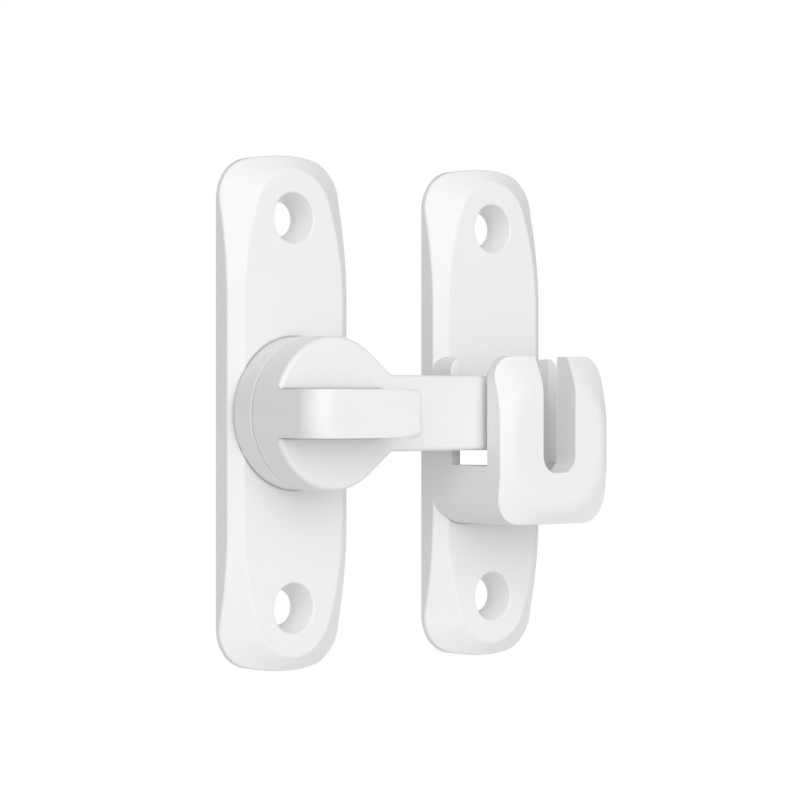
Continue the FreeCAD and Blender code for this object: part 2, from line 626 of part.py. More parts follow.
def make_thumb_rib():
    """The rib for the thumb, a body of its own until its roundings are done."""
    body = new_body("thumb_rib")
    rib = rib_outline(body_sketch(body, "rib_outline", KNOB_BACK))
    pad(body, "rib", rib, "sizes.knob_thickness + sizes.rib_rise")
    side, end = value("sizes.rib_width / 2"), value("sizes.rib_reach")
    back = value(KNOB_BACK)
    front = value(f"{KNOB_FRONT} + sizes.rib_rise")

    def rim_end(edge):
        return at_depth(edge, front) and middle_of(edge).x < -side

    def bar_end(edge):
        return at_depth(edge, front) and abs(middle_of(edge).x - end) < TOUCH

    def on_a_side(edge):
        return abs(abs(middle_of(edge).z) - side) < TOUCH and edge.BoundBox.ZLength < TOUCH and \
            not at_depth(edge, back)

    round_edges(body, "rib_swell", rim_end, "sizes.rib_swell_radius")
    round_edges(body, "rib_end_rounding", bar_end, "sizes.rib_end_radius")
    round_edges(body, "rib_side_rounding", on_a_side, "sizes.rib_edge_radius")
    return body


def make_turn_arm():
    """Knob, rib, bar and hook, with the spigot that turns in the bush and its key."""
    body = new_body("turn_arm")
    pad(body, "knob_and_bar", arm_outline(body_sketch(body, "arm_outline", KNOB_BACK)), "sizes.knob_thickness")
    hook = rectangle(body_sketch(body, "hook_outline", HOOK_BACK), HOOK_INSIDE, ARM_END, "(sizes.bar_height / 2)")
    pad(body, "hook", hook, f"{KNOB_BACK} - {HOOK_BACK}")
    neck, half, end = value("sizes.knob_diameter / 2"), value("sizes.bar_height / 2"), value(ARM_END)
    front, back = value(KNOB_FRONT), value(KNOB_BACK)

    def in_the_neck(edge):
        return runs_along_y(edge) and abs(middle_of(edge).x - neck) < TOUCH

    def at_the_end(edge):
        middle = middle_of(edge)
        return abs(middle.x - end) < TOUCH and not at_depth(edge, front)

    def bar_back(edge):
        middle = middle_of(edge)
        return at_depth(edge, back) and abs(abs(middle.z) - half) < TOUCH and middle.x > neck

    round_edges(body, "neck_rounding", in_the_neck, "sizes.neck_radius")
    round_edges(body, "end_rounding", at_the_end, "sizes.bar_back_radius")
    round_edges(body, "front_rounding", lambda edge: at_depth(edge, front), "sizes.front_edge_radius")
    round_edges(body, "bar_back_rounding", bar_back, "sizes.bar_back_radius")

    joined = body.newObject("PartDesign::Boolean", "rib_on_knob")
    joined.Type = "Fuse"
    joined.setObjects([make_thumb_rib()])

    spigot = circle_sketch(body_sketch(body, "spigot_outline", SPIGOT_END), "sizes.spigot_diameter")
    pad(body, "spigot", spigot, f"{KNOB_BACK} - {SPIGOT_END}")
    key = two_flats(body_sketch(body, "key_outline", f"{SPIGOT_END} - sizes.key_height"), "0")
    pad(body, "key", key, "sizes.key_height")
    tapped = circle_sketch(body_sketch(body, "tapped_outline", f"{SPIGOT_END} - sizes.key_height"),
                           "sizes.screw_diameter + 2 * sizes.running_clearance")
    pocket(body, "tapped_hole", tapped,
           "sizes.screw_length + sizes.thread_run_out - sizes.retainer_thickness + sizes.key_height")
    return body


def make_pivot_bush():
    """Low-friction sleeve in the boss, with the thrust flange that the knob turns on."""
    body = new_body("pivot_bush")
    end = "(sizes.recess_depth + sizes.bush_end_gap)"
    sleeve = circle_sketch(body_sketch(body, "sleeve_outline", end), f"{BUSH_OUTSIDE} - 2 * sizes.fit_clearance")
    pad(body, "sleeve", add_hole_circle(sleeve, BUSH_BORE), f"{BOSS_FRONT} - {end}")
    flange = circle_sketch(body_sketch(body, "flange_outline", BOSS_FRONT),
                           "sizes.knob_diameter - 2 * sizes.flange_inset")
    pad(body, "flange", add_hole_circle(flange, BUSH_BORE), "sizes.bush_flange")
    return body


def make_retaining_washer():
    """Flat washer with a two-flat hole, so that it turns with the arm."""
    body = new_body("retaining_washer")
    sketch = circle_sketch(body_sketch(body, "washer_outline", RETAINER_BACK), WASHER_OUTSIDE)
    two_flats(sketch, "sizes.running_clearance")
    pad(body, "washer", sketch, "sizes.retainer_thickness - sizes.fit_clearance")
    return body


def make_pivot_screw():
    """Machine screw from the back that holds the spigot, the washers and the plate together."""
    body = new_body("pivot_screw")
    head_back = f"({RETAINER_BACK} - sizes.screw_head_height)"
    head = circle_sketch(body_sketch(body, "head_outline", head_back), "sizes.screw_head")
    pad(body, "head", head, "sizes.screw_head_height - sizes.fit_clearance")
    shank = circle_sketch(body_sketch(body, "shank_outline", f"({RETAINER_BACK} - sizes.fit_clearance)"),
                          "sizes.screw_diameter")
    pad(body, "shank", shank, "sizes.screw_length")
    back = value(head_back)
    round_edges(body, "head_rounding", lambda edge: at_depth(edge, back), "sizes.screw_head_radius")
    long, short = "(sizes.driver_width / 2)", "(sizes.driver_slot / 2)"
    for name, reach, half in (("driver_level", long, short), ("driver_upright", short, long)):
        slot = rectangle(body_sketch(body, f"{name}_outline", head_back), f"-{reach}", reach, half)
        pocket(body, name, slot, "sizes.driver_depth")
    return body


def make_wave_washer():
    """Spring washer: a thin ring whose height follows a sine wave round its circumference."""
    inner = value("sizes.spigot_diameter / 2 + sizes.wave_bore_play")
    outer = value(f"{WASHER_OUTSIDE} / 2")
    thickness = value("sizes.wave_thickness")
    count = int(value("sizes.wave_count"))
    swing = (value("sizes.wave_height") - thickness) / 2 - value("sizes.fit_clearance")
    middle = value("sizes.recess_depth") - value("sizes.wave_height") / 2
    steps = POINTS_PER_WAVE * count

    def rim(radius, offset):
        points = []
        for step in range(steps):
            turn = FULL_TURN * step / steps
            depth = middle + offset + swing * math.cos(count * turn)
            points.append(Vector(radius * math.cos(turn), -depth, radius * math.sin(turn)))
        curve = Part.BSplineCurve()
        curve.interpolate(Points=points, PeriodicFlag=True)
        return curve.toShape()

    corners = [rim(inner, -thickness / 2), rim(outer, -thickness / 2),
               rim(outer, thickness / 2), rim(inner, thickness / 2)]
    faces = [Part.makeRuledSurface(corners[index], corners[(index + 1) % 4]) for index in range(4)]
    solid = Part.makeSolid(Part.makeShell([face for ruled in faces for face in ruled.Faces]))
    if solid.Volume < 0:
        solid.reverse()
    washer = doc.addObject("Part::Feature", "wave_washer")
    washer.Shape = solid
    washer.Placement = Placement()
    return washer


pieces = {
    "latch_plate": make_latch_plate(),
    "pivot_bush": make_pivot_bush(),
    "wave_washer": make_wave_washer(),
    "turn_arm": make_turn_arm(),
    "retaining_washer": make_retaining_washer(),
    "pivot_screw": make_pivot_screw(),
    "strike_plate": make_strike_plate(),
}
pieces["strike_plate"].setExpression("Placement.Base.x", "sizes.plate_spacing")
for label, piece in pieces.items():
    piece.Label = label
doc.recompute()

for item in doc.Objects:
    if "Invalid" in item.State or "Error" in item.State:
        raise RuntimeError(f"{item.Name} is {item.State}")

os.makedirs("parts", exist_ok=True)
for label, piece in pieces.items():
    shape = piece.Shape
    if shape.isNull() or not shape.isValid() or len(shape.Solids) != 1:
        raise RuntimeError(f"{label} is not one valid solid")
    shape.exportStep(f"parts/{label}.step")
    print(f"{label}: {shape.Volume:.1f} mm3")
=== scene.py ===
import json
import math

import bmesh
import bpy
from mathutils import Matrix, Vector


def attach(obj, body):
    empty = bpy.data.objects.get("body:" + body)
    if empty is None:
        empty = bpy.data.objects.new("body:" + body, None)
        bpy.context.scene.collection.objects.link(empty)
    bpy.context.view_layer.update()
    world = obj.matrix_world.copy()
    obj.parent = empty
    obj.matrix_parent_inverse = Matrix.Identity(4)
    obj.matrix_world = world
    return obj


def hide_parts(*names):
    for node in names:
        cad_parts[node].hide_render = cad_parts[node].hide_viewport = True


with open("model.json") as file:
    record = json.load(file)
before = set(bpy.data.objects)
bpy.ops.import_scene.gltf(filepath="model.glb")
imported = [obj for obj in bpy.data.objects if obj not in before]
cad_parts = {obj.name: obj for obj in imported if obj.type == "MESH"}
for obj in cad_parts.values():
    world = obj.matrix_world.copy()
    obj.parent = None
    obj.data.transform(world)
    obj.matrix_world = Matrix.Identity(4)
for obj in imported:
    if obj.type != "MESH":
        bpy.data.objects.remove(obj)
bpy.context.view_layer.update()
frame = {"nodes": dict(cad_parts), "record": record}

# Looks of a flip-over door latch: white powder-coated castings with their pivot hardware.
#
# Row frame, in metres: the origin is on the arm's pivot axis, in the plane of the wall. +X points
# from the latch plate to the strike plate, +Z is up and the user stands on the -Y side.

bl_info = {
    "name": "Door Latch Looks",
    "version": (1, 0, 0),
    "blender": (4, 5, 0),
    "location": "View3D > Sidebar > Latch",
    "description": "Models and finishes a flip-over door latch round its packed frame",
    "category": "Object",
}

MM = 0.001
# Points nearer than this are one
JOIN = 0.002 * MM
# How far a shape reaches past the one that it cuts or joins
BEYOND = 1.0 * MM
TO_VIEWER = (0, -1, 0)
QUARTER = math.pi / 2

# Faces that turn less than this lie in one plane
FLAT_TURN = math.radians(0.4)
# An edge of a form turns more than this
EDGE_TURN = math.radians(12)
# The edge between a plate's side and its bevel turns more than this
RIM_TURN = math.radians(20)
# An edge of a finished casting that is softened, or shaded sharp, turns more than this
CRISP_TURN = math.radians(28)
# The arm's edges that get its large front rounding turn more than this
FRONT_TURN = math.radians(60)
# A face whose normal goes this far along the depth faces the viewer or the wall
FACING = 0.99
# Share of a casting's softness that its crisper edges get
CRISP = 0.4

# Steps of the runs in a quarter of a plate, alike for its outline and its raised flat
STRAIGHT_STEPS = 4
SIDE_STEPS = 14
CORNER_STEPS = 12
END_STEPS = 10

WHITE = (1, 1, 1, 1)
# Kinds of ray that see plain white in place of the floor, and in place of the surroundings
FLOOR_RAYS = ("Is Camera Ray", "Is Glossy Ray", "Is Transmission Ray")
SKY_RAYS = ("Is Camera Ray", "Is Transmission Ray")


# Shader helpers

class Signal:
    """A shader socket that Python's arithmetic works on, adding Math nodes as it goes."""

    def __init__(self, shader, socket):
        self.shader = shader
        self.socket = socket

    def math(self, operation, other=0.0, flipped=False):
        first, second = (other, self) if flipped else (self, other)
        return self.shader.node("Math", {"operation": operation}, {0: first, 1: second})

    def __add__(self, other):
        return self.math("ADD", other)

    def __sub__(self, other):
        return self.math("SUBTRACT", other)

    def __mul__(self, other):
        return self.math("MULTIPLY", other)

    __radd__ = __add__
    __rmul__ = __mul__

    def __rsub__(self, other):
        return self.math("SUBTRACT", other, flipped=True)


class Shader:
    """The node tree of one material or world, emptied and ready to be filled."""

    def __init__(self, owner):
        self.owner = owner
        owner.use_nodes = True
        self.tree = owner.node_tree
        self.tree.nodes.clear()

    def node(self, kind, settings=None, inputs=None, output=0):
        """Adds a node: its settings first, then the values or links of its sockets."""
        made = self.tree.nodes.new("ShaderNode" + kind)
        for key, setting in (settings or {}).items():
            setattr(made, key, setting)
        for key, given in (inputs or {}).items():
            if isinstance(given, Signal):
                self.tree.links.new(given.socket, made.inputs[key])
            else:
                made.inputs[key].default_value = given
        return Signal(self, made.outputs[output]) if made.outputs else made

    def mix(self, factor, first, second):
        """A colour between two colours; the sockets for colours share their names, so go by number."""
        return self.node("Mix", {"data_type": "RGBA"}, {0: factor, 6: first, 7: second}, output=2)

    def finish(self, surface, output="OutputMaterial"):
        self.node(output, None, {"Surface": surface})
        return self.owner


def new_shader(name):
    return Shader(bpy.data.materials.new(name))


def shade(colour, share=1.0):
    """A colour for a node, darkened to a share of itself."""
    return (*(channel * share for channel in colour), 1.0)


def object_noise(shader, scale, detail):
    """Noise that is fixed to the piece, with its scale in waves per metre."""
    place = shader.node("TexCoord", output="Object")
    return shader.node("TexNoise", None, {"Vector": place, "Scale": scale, "Detail": detail})


def swing(noise, width):
    """A noise as a change of up to half a width either way."""
    return (noise - 0.5) * width


def openness(shader, reach, start, gain, own=True):
    """From 0 where a place is shut in, within a reach, to 1 where it lies open.

    It leaves 0 where a share of the directions, the start, is free, and then rises with the gain.
    """
    free = shader.node("AmbientOcclusion", {"only_local": own, "samples": 8}, {"Distance": reach},
                       output="AO")
    return (free - start) * gain


def painted_crease_shade(shader, finish, tone, own=True):
    """A tone with a fine line of painted shade where faces meet, shut in by one piece alone or by any
    pieces.
    """
    clear = openness(shader, finish.crease_shade_reach, finish.crease_shade_start, finish.crease_shade_gain, own)
    return shader.mix(clear, shade(finish.crease_shade_colour), tone)


def powder_coat(shader, finish):
    """White semi-gloss powder coat: a faint orange peel, slow changes of gloss and tone, and painted
    shade in slots, holes and creases.
    """
    peel = object_noise(shader, finish.peel_scale, detail=2.0)
    drift = object_noise(shader, finish.drift_scale, detail=3.0)
    speck = object_noise(shader, finish.speck_scale, detail=1.0)
    tone = shader.mix(drift, shade(finish.coat_colour, finish.drift_tone), shade(finish.coat_colour))
    # Painted shade: the coat's colour darkens deep in slots and holes, where shade falls; open faces
    # keep their full tone
    clear = openness(shader, finish.recess_shade_reach, finish.recess_shade_start, finish.recess_shade_gain)
    tone = shader.mix(clear, shade(finish.recess_shade_colour), tone)
    # Painted shade: a fine dark line in creases and joints, where faces meet
    tone = painted_crease_shade(shader, finish, tone)
    changes = swing(drift, finish.drift_gloss) + swing(speck, finish.speck_gloss)
    roughness = finish.coat_roughness + changes
    bump = shader.node("Bump", None, {"Strength": finish.peel_strength, "Distance": finish.peel_height,
                                      "Height": peel})
    return shader.finish(shader.node("BsdfPrincipled", None, {
        "Base Color": tone, "Roughness": roughness, "IOR": finish.coat_index, "Normal": bump}))


def plated_steel(shader, finish):
    """Bright zinc plate on turned steel, with rings of tool marks round the pivot axis."""
    place = shader.node("TexCoord", output="Object")
    rings = shader.node("TexWave", {"wave_type": "RINGS", "rings_direction": "Y"},
                        {"Vector": place, "Scale": finish.ring_scale, "Distortion": finish.ring_wobble,
                         "Detail": 1.0})
    stain = object_noise(shader, finish.stain_scale, detail=3.0)
    tone = shader.mix(stain, shade(finish.steel_colour), shade(finish.steel_colour, finish.stain_tone))
    roughness = finish.plate_roughness + rings * finish.ring_gloss + swing(stain, finish.stain_gloss)
    bump = shader.node("Bump", None, {"Strength": finish.ring_strength, "Distance": finish.ring_height,
                                      "Height": rings})
    return shader.finish(shader.node("BsdfPrincipled", None, {
        "Base Color": tone, "Roughness": roughness, "Metallic": 1.0, "Normal": bump}))


def bush_polymer(shader, finish):
    """Off-white bearing polymer with a matt, slightly mottled skin."""
    mottle = object_noise(shader, finish.mottle_scale, detail=3.0)
    tone = shader.mix(mottle, shade(finish.bush_colour), shade(finish.bush_colour, finish.mottle_tone))
    # Painted shade: the joint that the flange closes gets the fine dark line too, shut in by all pieces
    tone = painted_crease_shade(shader, finish, tone, own=False)
    roughness = finish.bush_roughness + swing(mottle, finish.mottle_gloss)
    return shader.finish(shader.node("BsdfPrincipled", None, {
        "Base Color": tone, "Roughness": roughness, "IOR": finish.bush_index}))


def spring_steel(shader, finish):
    """Blank rolled spring strip."""
    grain = object_noise(shader, finish.grain_scale, detail=2.0)
    tone = shader.mix(grain, shade(finish.steel_colour, finish.grain_tone), shade(finish.steel_colour))
    roughness = finish.strip_roughness + grain * finish.grain_gloss
    return shader.finish(shader.node("BsdfPrincipled", None, {
        "Base Color": tone, "Roughness": roughness, "Metallic": 1.0}))


# The finish of each of the record's material slots
FINISHES = {
    "painted_zinc": powder_coat,
    "plated_steel": plated_steel,
    "spring_steel": spring_steel,
    "bush_polymer": bush_polymer,
}


def material_of(slot):
    """The material of one of the record's slots, made once and named after its finish.

    A material of that name that has come with the frame is taken as it is.
    """
    finish = FINISHES[slot]
    name = finish.__name__
    return bpy.data.materials.get(name) or finish(new_shader(name), bpy.context.scene.latch_finish)


def dress(obj, slot):
    """Gives an object one finish."""
    obj.data.materials.clear()
    obj.data.materials.append(material_of(slot))


# Settings

def length(name, description, millimetres):
    """A size in a panel, given here in millimetres."""
    return bpy.props.FloatProperty(name=name, description=description, default=millimetres * MM, min=0,
                                   unit="LENGTH", precision=5)


def angle(name, description, degrees):
    """An angle in a panel, given here in degrees."""
    return bpy.props.FloatProperty(name=name, description=description, default=math.radians(degrees),
                                   subtype="ANGLE")


def number(name, description, default):
    """A plain figure in a panel."""
    return bpy.props.FloatProperty(name=name, description=description, default=default, min=0,
                                   precision=3)


def colour(name, description, red, green, blue):
    """A colour in a panel."""
    return bpy.props.FloatVectorProperty(name=name, description=description, default=(red, green, blue),
                                         size=3, subtype="COLOR", min=0, max=1)


class PlateSizes(bpy.types.PropertyGroup):
    """Sizes of the two plates and of the boss."""
    plate_length: length("Plate height", "Height of a plate", 79.3)
    plate_width: length("Plate width", "Width of a plate", 24.0)
    plate_thickness: length("Thickness", "From the wall to the raised flat", 4.2)
    plate_spacing: length("Spacing", "From the pivot axis to the strike plate's middle", 42.35)
    side_height: length("Side", "Upright side below the bevel, at mid height", 2.75)
    corner_height: length("Corner sides", "Upright side below the bevel, at the corners", 0.8)
    corner_radius: length("Corners", "Rounding of a plate's corners", 6.5)
    bevel_width: length("Bevel", "Run of the bevel at mid height", 2.15)
    rim_radius: length("Flat's ends", "Radius of the flat's ends, about the screw holes", 7.5)
    flat_straight: length("Straight", "Half length of the straight middle of the flat's sides", 17.0)
    flat_softness: length("Crease", "Softness of the crease between flat and bevel", 0.3)
    side_softness: length("Side's edge", "Softness of the edge between side and bevel", 0.25)
    screw_inset: length("Screws", "From a plate's end to the screw hole there", 9.65)
    screw_hole: length("Hole", "Plain part of a screw hole", 5.5)
    screw_sink: length("Sink", "Screw hole at the flat", 8.0)
    screw_land: length("Land", "Length of the plain part", 1.5)
    boss_diameter: length("Boss", "Diameter of the round boss", 23.5)
    boss_rise: length("Boss height", "Boss above the flat", 3.85)
    boss_softness: length("Boss's edge", "Rounding of the boss's front edge", 0.2)
    bore_diameter: length("Bore", "Bore that takes the bush", 12.0)
    pocket_diameter: length("Pocket", "Pocket for the pivot hardware in the back", 16.0)
    pocket_depth: length("Pocket depth", "Depth of that pocket", 5.0)
    edge_softness: length("Softness", "Rounding of the castings' other edges", 0.22)


class ArmSizes(bpy.types.PropertyGroup):
    """Sizes of the turning arm."""
    knob_diameter: length("Knob", "Diameter of the knob", 23.5)
    knob_back: length("Knob's back", "Depth of the knob's back from the wall", 8.37)
    knob_thickness: length("Thickness", "Thickness of knob and bar", 5.7)
    front_edge_radius: length("Front edge", "Rounding of the front edge", 1.5)
    neck_softness: length("Neck", "Softness of the corner where the knob's flank meets the bar", 0.36)
    bar_height: length("Bar", "Height of the bar", 11.8)
    arm_end: length("Reach", "From the pivot axis to the bar's end", 38.37)
    bar_back_radius: length("Back edges", "Rounding of the bar's back edges", 0.8)
    rib_width: length("Rib", "Height of the thumb rib", 7.35)
    rib_rise: length("Rib's rise", "Rib above the knob's face", 8.89)
    rib_reach: length("Rib's reach", "From the pivot axis to the rib's end", 10.0)
    rib_swell_radius: length("Swell", "Large rounding where the rib rises from the rim", 3.9)
    rib_end_radius: length("Rib's end", "Rounding of the rib's other end", 1.5)
    rib_corner_radius: length("Rib's corners", "Rounding of that end, seen from the front", 1.1)
    rib_edge_radius: length("Rib's edges", "Softness of the rib's long edges", 0.6)
    rib_edge_start: length("Rib's edges from", "Height above the knob's face where these begin", 0.5)
    hook_back: length("Hook's back", "Depth of the hook's back from the wall", 4.7)
    hook_thickness: length("Hook", "Hook at the bar's end, along the bar", 4.4)
    spigot_diameter: length("Spigot", "Shaft on the back of the knob", 9.0)
    spigot_end: length("Spigot's end", "Depth of the spigot's end from the wall", 4.1)
    key_diameter: length("Key", "Round of the two-flat key", 7.6)
    key_flats: length("Key's flats", "Key across its flats", 6.0)
    key_height: length("Key's height", "Height of the key", 0.8)
    tapped_diameter: length("Tapped hole", "Hole for the pivot screw", 4.1)
    tapped_end: length("Hole's end", "Depth of the tapped hole's end from the wall", 12.0)
    edge_softness: length("Softness", "Rounding of the arm's other edges", 0.15)


class CatchSizes(bpy.types.PropertyGroup):
    """Sizes of the catch on the strike plate."""
    side_wall: length("Side walls", "Thickness of the side walls", 2.05)
    side_top: length("Side tops", "Top of the side walls above the pivot's level", 8.8)
    side_top_radius: length("Side corners", "Rounding of the side walls' outer top corners", 2.05)
    post_front: length("Posts", "Depth of the low posts' front, behind the side slots", 7.12)
    block_foot: length("Foot", "Depth from which the catch's block grows out of the plate", 1.0)
    wall_back: length("Wall's back", "Depth of the front wall's back", 15.32)
    front_wall: length("Front wall", "Thickness of the front wall", 4.3)
    slot_floor: length("Slot floor", "Floor of the side slots below the pivot's level", 8.3)
    cavity_floor: length("Cavity floor", "Floor of the catch's inside below the pivot's level", 11.0)
    window_top: length("Window", "Top of the window through the plate", 5.8)
    catch_top: length("Top", "Top of the front wall above the pivot's level", 9.0)
    catch_top_radius: length("Top corners", "Rounding of the front wall's top corners", 3.8)
    catch_bottom: length("Bottom", "Bottom of the catch below the pivot's level", 17.8)
    catch_bottom_radius: length("Bottom corners", "Rounding of the catch's bottom corners", 4.7)
    front_slot_width: length("Front slot", "Width of the slot in the front wall", 7.2)
    front_slot_floor: length("Front slot's floor", "Its floor below the pivot's level", 9.6)
    front_slot_radius: length("Front slot's corners", "Rounding of its floor's corners", 2.8)
    face_inset: length("Side bevel", "Run of the front bevel at its sides", 1.8)
    face_top_inset: length("Top bevel", "Run of the front bevel at the top", 4.7)
    face_bottom_inset: length("Bottom bevel", "Run of the front bevel at the bottom", 2.7)
    face_top_radius: length("Face corners", "Rounding of the front flat's top corners", 7.0)
    face_sole: length("Face's foot", "Straight part of the front flat's lower edge", 1.6)
    face_bevel_depth: length("Bevel's fall", "Fall of the front bevel at the sides", 1.3)
    face_slope_radius: length("Slope corners", "Top corners of the outline the bevel runs out to", 9.0)
    face_softness: length("Face's crease", "Softness of the crease round the front flat", 1.2)
    face_grain: length("Grain", "Shorter edges of the rim round the front are merged", 0.12)


class FinishSettings(bpy.types.PropertyGroup):
    """Colours and gloss of the latch's finishes; each scale is in waves per metre.

    A tone is the darkest share of a colour, a roughness goes from 0, a mirror, to 1, chalk, and a
    gloss is the range of its changes. The painted shade in corners and the painted shade lines in
    creases begin where the given share of the directions is free.
    """
    coat_colour: colour("Coat", "Colour of the powder coat", 0.86, 0.86, 0.865)
    coat_roughness: number("Coat's roughness", "Roughness of the powder coat", 0.36)
    coat_index: number("Coat's index", "Refractive index of the coat", 1.5)
    drift_scale: number("Drift", "Scale of the coat's slow changes", 45.0)
    drift_tone: number("Drift's tone", "Darkest tone of these", 0.985)
    drift_gloss: number("Drift's gloss", "How far they change the roughness", 0.06)
    speck_scale: number("Speck", "Scale of the coat's fine changes", 900.0)
    speck_gloss: number("Speck's gloss", "How far they change the roughness", 0.04)
    peel_scale: number("Orange peel", "Scale of the coat's orange peel", 1100.0)
    peel_strength: number("Orange peel's strength", "How much it tilts the surface", 0.1)
    peel_height: length("Orange peel's height", "Its depth", 0.03)
    # Painted shade in slots, holes and corners: the coat darkens towards this colour where little is
    # open
    recess_shade_colour: colour("Corners", "Colour of the coat deep in slots and holes", 0.56, 0.56, 0.565)
    recess_shade_reach: length("Corner reach", "How far the duller tone spreads", 8.0)
    recess_shade_start: number("Corner start", "Free directions where it begins to fade", 0.2)
    recess_shade_gain: number("Corner gain", "How fast it fades with more of them", 2.5)
    # Painted shade: the fine dark lines in creases and joints take this colour
    crease_shade_colour: colour("Crease shade", "Colour of the fine lines where faces meet", 0.36, 0.36, 0.36)
    crease_shade_reach: length("Line reach", "How far the fine lines spread", 0.5)
    crease_shade_start: number("Line start", "Free directions where they begin to fade", 0.45)
    crease_shade_gain: number("Line gain", "How fast they fade with more of them", 2.2)
    steel_colour: colour("Steel", "Colour of the plated steel", 0.62, 0.63, 0.65)
    plate_roughness: number("Zinc plate", "Roughness of the plated steel", 0.28)
    ring_scale: number("Rings", "Scale of the tool marks", 900.0)
    ring_wobble: number("Rings' wobble", "How far the tool marks stray", 0.4)
    ring_gloss: number("Rings' gloss", "How far they change the roughness", 0.06)
    ring_strength: number("Rings' strength", "How much they tilt the surface", 0.25)
    ring_height: length("Rings' height", "Their depth", 0.02)
    stain_scale: number("Stain", "Scale of the zinc's stains", 300.0)
    stain_tone: number("Stain's tone", "Darkest tone of these", 0.82)
    stain_gloss: number("Stain's gloss", "How far they change the roughness", 0.16)
    strip_roughness: number("Spring strip", "Least roughness of the spring strip", 0.24)
    grain_scale: number("Grain", "Scale of the strip's grain", 1500.0)
    grain_tone: number("Grain's tone", "Darkest tone of it", 0.8)
    grain_gloss: number("Grain's gloss", "How far it changes the roughness", 0.14)
    bush_colour: colour("Bush", "Colour of the bearing polymer", 0.74, 0.74, 0.72)
    bush_roughness: number("Bush's roughness", "Roughness of the polymer", 0.5)
    bush_index: number("Bush's index", "Refractive index of the polymer", 1.52)
    mottle_scale: number("Mottle", "Scale of the polymer's mottling", 600.0)
    mottle_tone: number("Mottle's tone", "Darkest tone of it", 0.93)
    mottle_gloss: number("Mottle's gloss", "How far it changes the roughness", 0.12)


class StageSettings(bpy.types.PropertyGroup):
    """Camera, lamp, floor and surroundings."""
    camera_azimuth: angle("Azimuth", "Where the camera stands, round the latch from the front", -42.065)
    camera_distance: length("Distance", "From the camera to the point it looks at", 463.08)
    camera_lens: number("Lens", "Focal length in millimetres", 131.6)
    camera_sensor: number("Sensor", "Width of the picture in the camera, in millimetres", 36.0)
    aim: bpy.props.FloatVectorProperty(
        name="Aim", description="Point that the camera looks at", size=3,
        default=(0.0212, -0.005, 0.00204), subtype="TRANSLATION", unit="LENGTH")
    key_power: number("Key", "Power of the large lamp at the front, in watts", 43.0)
    key_azimuth: angle("Key's azimuth", "Where that lamp stands, round the latch from the front", -22.0)
    key_elevation: angle("Key's elevation", "How far above the latch that lamp stands", 15.0)
    key_distance: length("Key's distance", "From that lamp to the aim", 2000.0)
    key_size: length("Key's size", "Width and height of that lamp", 2800.0)
    fill_level: number("Fill", "Brightness of the surroundings", 0.43)
    floor_drop: length("Floor", "Studio floor below the pivot's level", 250.0)
    floor_size: length("Floor's size", "From the floor's middle to its sides", 4000.0)
    floor_colour: colour("Floor's colour", "Colour of the floor in what it throws back", 0.9, 0.9, 0.9)


# Mesh helpers

class Outline:
    """A pen that draws in a mesh: straight runs, and arcs that are spun from its last point."""

    def __init__(self, form, x, height, depth):
        self.form = form
        self.points = [form.verts.new((x, -depth, height))]

    def line(self, x, height, steps=1):
        start = self.points[-1].co.copy()
        end = Vector((x, start.y, height))
        for step in range(steps):
            grown = bmesh.ops.extrude_vert_indiv(self.form, verts=[self.points[-1]])
            self.points.append(grown["verts"][0])
            self.points[-1].co = start.lerp(end, (step + 1) / steps)
        return self

    def arc(self, x, height, turn, steps, end=None):
        """Spins the last point about a centre; a positive turn is counter-clockwise from the front.

        An end, where it is given, frees the arc's last point from the spin's rounding errors.
        """
        start = self.points[-1]
        known = len(self.form.verts)
        bmesh.ops.spin(self.form, geom=[start], cent=(x, start.co.y, height), axis=TO_VIEWER,
                       angle=turn, steps=steps)
        self.form.verts.ensure_lookup_table()
        self.points.extend(self.form.verts[known:])
        if end:
            self.points[-1].co.xz = end
        return self


def chain_edges(points):
    """The edges between points that follow each other."""
    found = []
    for first, second in zip(points, points[1:]):
        found.extend(edge for edge in first.link_edges if edge.other_vert(first) is second)
    return found


def raise_chain(form, points, depth):
    """A wall from a chain of points to a depth; gives the wall's new chain in the same order."""
    known = len(form.verts)
    bmesh.ops.extrude_edge_only(form, edges=chain_edges(points))
    form.verts.ensure_lookup_table()
    fresh = set(form.verts[known:])
    raised = []
    for point in points:
        ends = [edge.other_vert(point) for edge in point.link_edges]
        raised.extend(end for end in ends if end in fresh)
        raised[-1].co.y = -depth
    return raised


def all_of(form):
    return form.verts[:] + form.edges[:] + form.faces[:]


def mirror_form(form, axis):
    bmesh.ops.mirror(form, geom=all_of(form), merge_dist=JOIN, axis=axis)


def cut_plane(form, place, normal, clear_outer=False):
    """Cuts the faces along a plane, and takes away what is outside it where that is asked for."""
    bmesh.ops.bisect_plane(form, geom=all_of(form), dist=JOIN, plane_co=place, plane_no=normal,
                           clear_outer=clear_outer)


def close_form(form):
    """Welds a shell, fills its open ends and turns its faces outwards."""
    bmesh.ops.remove_doubles(form, verts=form.verts, dist=JOIN)
    bmesh.ops.holes_fill(form, edges=[edge for edge in form.edges if edge.is_boundary], sides=0)
    form.normal_update()
    bmesh.ops.recalc_face_normals(form, faces=form.faces)
    return form


def at_depth(edge, depth):
    """True for an edge that lies flat at a depth from the wall."""
    return all(abs(vert.co.y + depth) < JOIN for vert in edge.verts)


def goes_outwards(edge):
    """True for an edge that stands square to the wall."""
    return edge.verts[0].co.xz == edge.verts[1].co.xz


def middle_of(edge):
    return (edge.verts[0].co + edge.verts[1].co) / 2


def turns_a_corner(edge, least=EDGE_TURN):
    return len(edge.link_faces) == 2 and edge.calc_face_angle(0) > least


